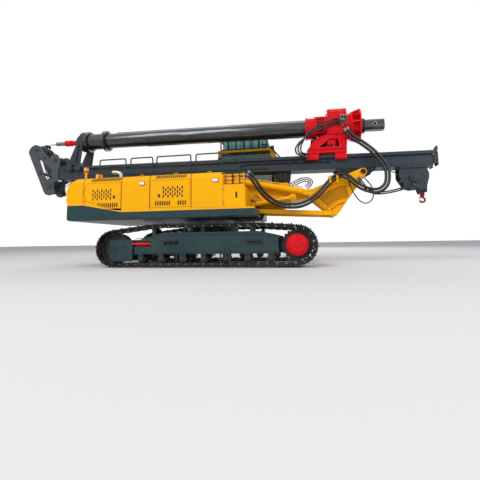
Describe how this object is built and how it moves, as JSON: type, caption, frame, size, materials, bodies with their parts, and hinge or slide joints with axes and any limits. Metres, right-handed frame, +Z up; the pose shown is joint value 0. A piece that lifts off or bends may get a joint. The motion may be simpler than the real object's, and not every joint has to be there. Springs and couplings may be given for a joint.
{
  "type": "rotary piling rig",
  "caption": "Rotary drilling rig for bored piles on tracks, its mast folded flat over the body, with a rotary drive and a telescopic kelly bar.",
  "frame": {"origin": "on the ground under the slew axis, which is also the centre of the overall box", "axes": "+X to the front (mast foot), +Y to the side with the cab, +Z up"},
  "size_m": [9.9872, 2.6, 3.5116],
  "materials": {
    "yellow_paint": "gloss",
    "teal_paint": "gloss",
    "red_paint": "gloss",
    "mast_paint": "satin",
    "head_paint": "satin",
    "black_paint": "satin",
    "rail_paint": "gloss",
    "track_steel": "matt",
    "kelly_steel": "worn satin",
    "machined_steel": "satin",
    "chrome": "polished",
    "exhaust_metal": "satin",
    "hose_rubber": "satin",
    "seat_cover": "matt",
    "window_glass": "clear tint",
    "lamp_lens": "clear"
  },
  "bodies": {
    "undercarriage": {"car_body": "teal_paint", "slew_ring": "machined_steel", "track_frames": "teal_paint", "track_right": "track_steel", "track_left": "track_steel", "rollers": "black_paint", "idlers": "track_steel", "idler_yokes": "teal_paint", "tension_rods": "red_paint", "sprockets": "track_steel", "drive_covers": "red_paint"},
    "upper": {"upper_frame": "teal_paint", "counterweight": "teal_paint", "engine_hood": "yellow_paint", "engine": "black_paint", "side_tank": "yellow_paint", "valve_box": "yellow_paint", "cab_shell": "yellow_paint", "cab_glass": "window_glass", "cab_seat": "seat_cover", "roof_guard": "rail_paint", "handrails": "rail_paint", "beacon": "lamp_lens", "exhaust": "exhaust_metal", "hard_pipes": "yellow_paint", "mast_rest": "black_paint"},
    "hood_door_rear": {"hood_door_rear": "yellow_paint"},
    "hood_door_front": {"hood_door_front": "yellow_paint"},
    "cab_door": {"cab_door": "yellow_paint"},
    "boom": {"boom": "yellow_paint", "body_hoses": "hose_rubber"},
    "links": {"links": "yellow_paint"},
    "lift_barrels": {"lift_barrels": "yellow_paint"},
    "lift_rods": {"lift_rods": "chrome"},
    "triangle": {"triangle_frame": "yellow_paint"},
    "fold_barrels": {"fold_barrels": "yellow_paint"},
    "fold_rods": {"fold_rods": "chrome"},
    "mast": {"mast_beam": "mast_paint", "guide_rails": "mast_paint", "mast_bracket": "black_paint", "mast_head": "head_paint", "winch_frame": "mast_paint", "mast_hoses": "hose_rubber"},
    "head_sheave": {"head_sheave": "black_paint"},
    "rear_sheaves": {"rear_sheaves": "black_paint"},
    "rope_sheave": {"rope_sheave": "black_paint"},
    "winch_drum": {"winch_drum": "mast_paint"},
    "hook": {"hook": "red_paint"},
    "kelly_guide": {"kelly_guide": "mast_paint"},
    "kelly_outer": {"kelly_outer": "kelly_steel"},
    "kelly_middle": {"kelly_middle": "kelly_steel"},
    "kelly_core": {"kelly_core": "kelly_steel", "swivel": "red_paint"},
    "rotary": {"sledge": "red_paint", "gearbox": "red_paint", "drive_motors": "black_paint"},
    "drive_sleeve": {"drive_sleeve": "red_paint"}
  },
  "joints": [
    {"name": "slew", "type": "hinge", "parent": "undercarriage", "child": "upper", "pos_m": [0, 0, 1], "axis": [0, 0, 1], "continuous": true},
    {"name": "hood_door_rear_swing", "type": "hinge", "parent": "upper", "child": "hood_door_rear", "pos_m": [-2.581, -1.264, 1.55], "axis": [0, 0, -1], "range_deg": [0, 110]},
    {"name": "hood_door_front_swing", "type": "hinge", "parent": "upper", "child": "hood_door_front", "pos_m": [-0.16, -1.264, 1.55], "axis": [0, 0, 1], "range_deg": [0, 110]},
    {"name": "cab_door_swing", "type": "hinge", "parent": "upper", "child": "cab_door", "pos_m": [0.543, 1.264, 2], "axis": [0, 0, 1], "range_deg": [0, 150]},
    {"name": "boom_lift", "type": "hinge", "parent": "upper", "child": "boom", "pos_m": [0.62, 0, 1.64], "axis": [0, -1, 0], "range_deg": [0, 45], "deforming": ["body_hoses"]},
    {"name": "link_swing", "type": "hinge", "parent": "upper", "child": "links", "pos_m": [1.12, 0, 1.18], "axis": [0, -1, 0], "range_deg": [0, 45.01]},
    {"name": "triangle_level", "type": "hinge", "parent": "boom", "child": "triangle", "pos_m": [2.31, 0, 1.55], "axis": [0, -1, 0], "range_deg": [-45.01, 0]},
    {"name": "lift_barrel_swing", "type": "hinge", "parent": "upper", "child": "lift_barrels", "pos_m": [1.02, 0, 1.33], "axis": [0, -1, 0], "range_deg": [0, 51.31]},
    {"name": "lift_rod_slide", "type": "slide", "parent": "lift_barrels", "child": "lift_rods", "axis": [0.9888, 0, 0.1492], "range_m": [0, 0.36943]},
    {"name": "mast_fold", "type": "hinge", "parent": "triangle", "child": "mast", "pos_m": [3.44, 0, 1.98], "axis": [0, 1, 0], "range_deg": [0, 89.3], "deforming": ["mast_hoses"]},
    {"name": "fold_barrel_swing", "type": "hinge", "parent": "triangle", "child": "fold_barrels", "pos_m": [2.31, 0, 1.55], "axis": [0, 1, 0], "range_deg": [0, 94.63]},
    {"name": "fold_rod_slide", "type": "slide", "parent": "fold_barrels", "child": "fold_rods", "axis": [-0.9792, 0, 0.2031], "range_m": [0, 1.67512]},
    {"name": "hook_swing", "type": "hinge", "parent": "mast", "child": "hook", "pos_m": [4.69973, 0, 1.54239], "axis": [0, 1, 0], "range_deg": [-89.31, 0]},
    {"name": "winch_turn", "type": "hinge", "parent": "mast", "child": "winch_drum", "pos_m": [4.51823, 0, 1.82963], "axis": [0, 1, 0], "continuous": true},
    {"name": "head_sheave_turn", "type": "hinge", "parent": "mast", "child": "head_sheave", "pos_m": [-4.75801, 0, 3.01304], "axis": [0, 1, 0], "continuous": true},
    {"name": "rear_sheave_turn", "type": "hinge", "parent": "mast", "child": "rear_sheaves", "pos_m": [-4.33014, 0, 2.01774], "axis": [0, 1, 0], "continuous": true},
    {"name": "rope_sheave_turn", "type": "hinge", "parent": "mast", "child": "rope_sheave", "pos_m": [-4.19178, 0, 2.7011], "axis": [0, 1, 0], "continuous": true},
    {"name": "kelly_guide_slide", "type": "slide", "parent": "mast", "child": "kelly_guide", "axis": [0.9999, 0, -0.0122], "range_m": [0, 2.9]},
    {"name": "kelly_turn", "type": "hinge", "parent": "kelly_guide", "child": "kelly_outer", "pos_m": [-3.44578, 0, 3.18702], "axis": [0.9999, 0, -0.0122], "continuous": true},
    {"name": "kelly_middle_slide", "type": "slide", "parent": "kelly_outer", "child": "kelly_middle", "axis": [0.9999, 0, -0.0122], "range_m": [0, 4.8]},
    {"name": "kelly_core_slide", "type": "slide", "parent": "kelly_middle", "child": "kelly_core", "axis": [0.9999, 0, -0.0122], "range_m": [0, 4.8005]},
    {"name": "rotary_slide", "type": "slide", "parent": "mast", "child": "rotary", "axis": [0.9999, 0, -0.0122], "range_m": [-2, 1.4]},
    {"name": "drive_turn", "type": "hinge", "parent": "rotary", "child": "drive_sleeve", "pos_m": [2.95374, 0, 3.10883], "axis": [0.9999, 0, -0.0122], "continuous": true}
  ],
  "couplings": [
    {"joint": "link_swing", "follows": "boom_lift", "ratio": 1},
    {"joint": "triangle_level", "follows": "boom_lift", "ratio": -1},
    {"joint": "lift_barrel_swing", "follows": "boom_lift", "ratio": 1.1399},
    {"joint": "lift_rod_slide", "follows": "boom_lift", "m_per_rad": 0.46973},
    {"joint": "fold_barrel_swing", "follows": "mast_fold", "ratio": 1.0595},
    {"joint": "fold_rod_slide", "follows": "mast_fold", "m_per_rad": 1.0745},
    {"joint": "hook_swing", "follows": "mast_fold", "ratio": -1},
    {"joint": "drive_turn", "follows": "kelly_turn", "ratio": 1},
    {"joint": "kelly_core_slide", "follows": "kelly_middle_slide", "ratio": 1}
  ]
}
